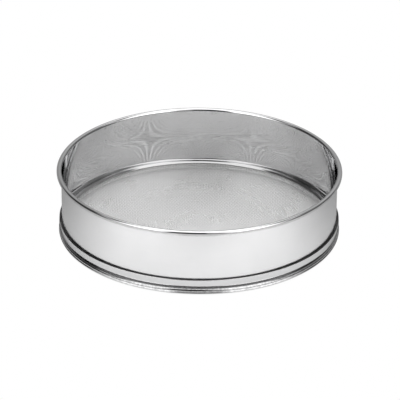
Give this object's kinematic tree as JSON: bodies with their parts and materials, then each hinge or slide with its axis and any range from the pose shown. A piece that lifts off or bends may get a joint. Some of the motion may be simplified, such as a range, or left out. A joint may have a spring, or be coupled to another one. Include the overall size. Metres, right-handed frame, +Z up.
{
  "type": "soil sieve",
  "caption": "Round steel soil sieve: sheet hoop with rolled rim, grooved base band with a rolled foot bead, and a drop-in woven wire mesh that lifts out.",
  "frame": {"origin": "centre of the circle that the sieve stands on, at the level of the surface under it", "axes": "+Z up along the axis of the hoop; X along the lower mesh wires and Y along the upper ones"},
  "size_m": [0.2698, 0.2698, 0.065],
  "materials": {
    "hoop_steel": "satin rolled stainless sheet, polished on the inside",
    "band_steel": "polished rolled stainless sheet",
    "frame_steel": "polished folded stainless strip",
    "mesh_wire_steel": "drawn stainless wire, plain weave",
    "core_wire_steel": "plain drawn steel wire, hidden in the rolled edges"
  },
  "bodies": {
    "hoop": {"wall_hoop": "hoop_steel", "rim_wire": "core_wire_steel", "base_band": "band_steel", "base_wire": "core_wire_steel"},
    "mesh_insert": {"mesh_frame": "frame_steel", "mesh_warp_wires": "mesh_wire_steel", "mesh_weft_wires": "mesh_wire_steel"}
  },
  "joints": [
    {"name": "mesh_lift", "type": "slide", "parent": "hoop", "child": "mesh_insert", "axis": [0, 0, 1], "range_m": [0, 0.07]}
  ]
}
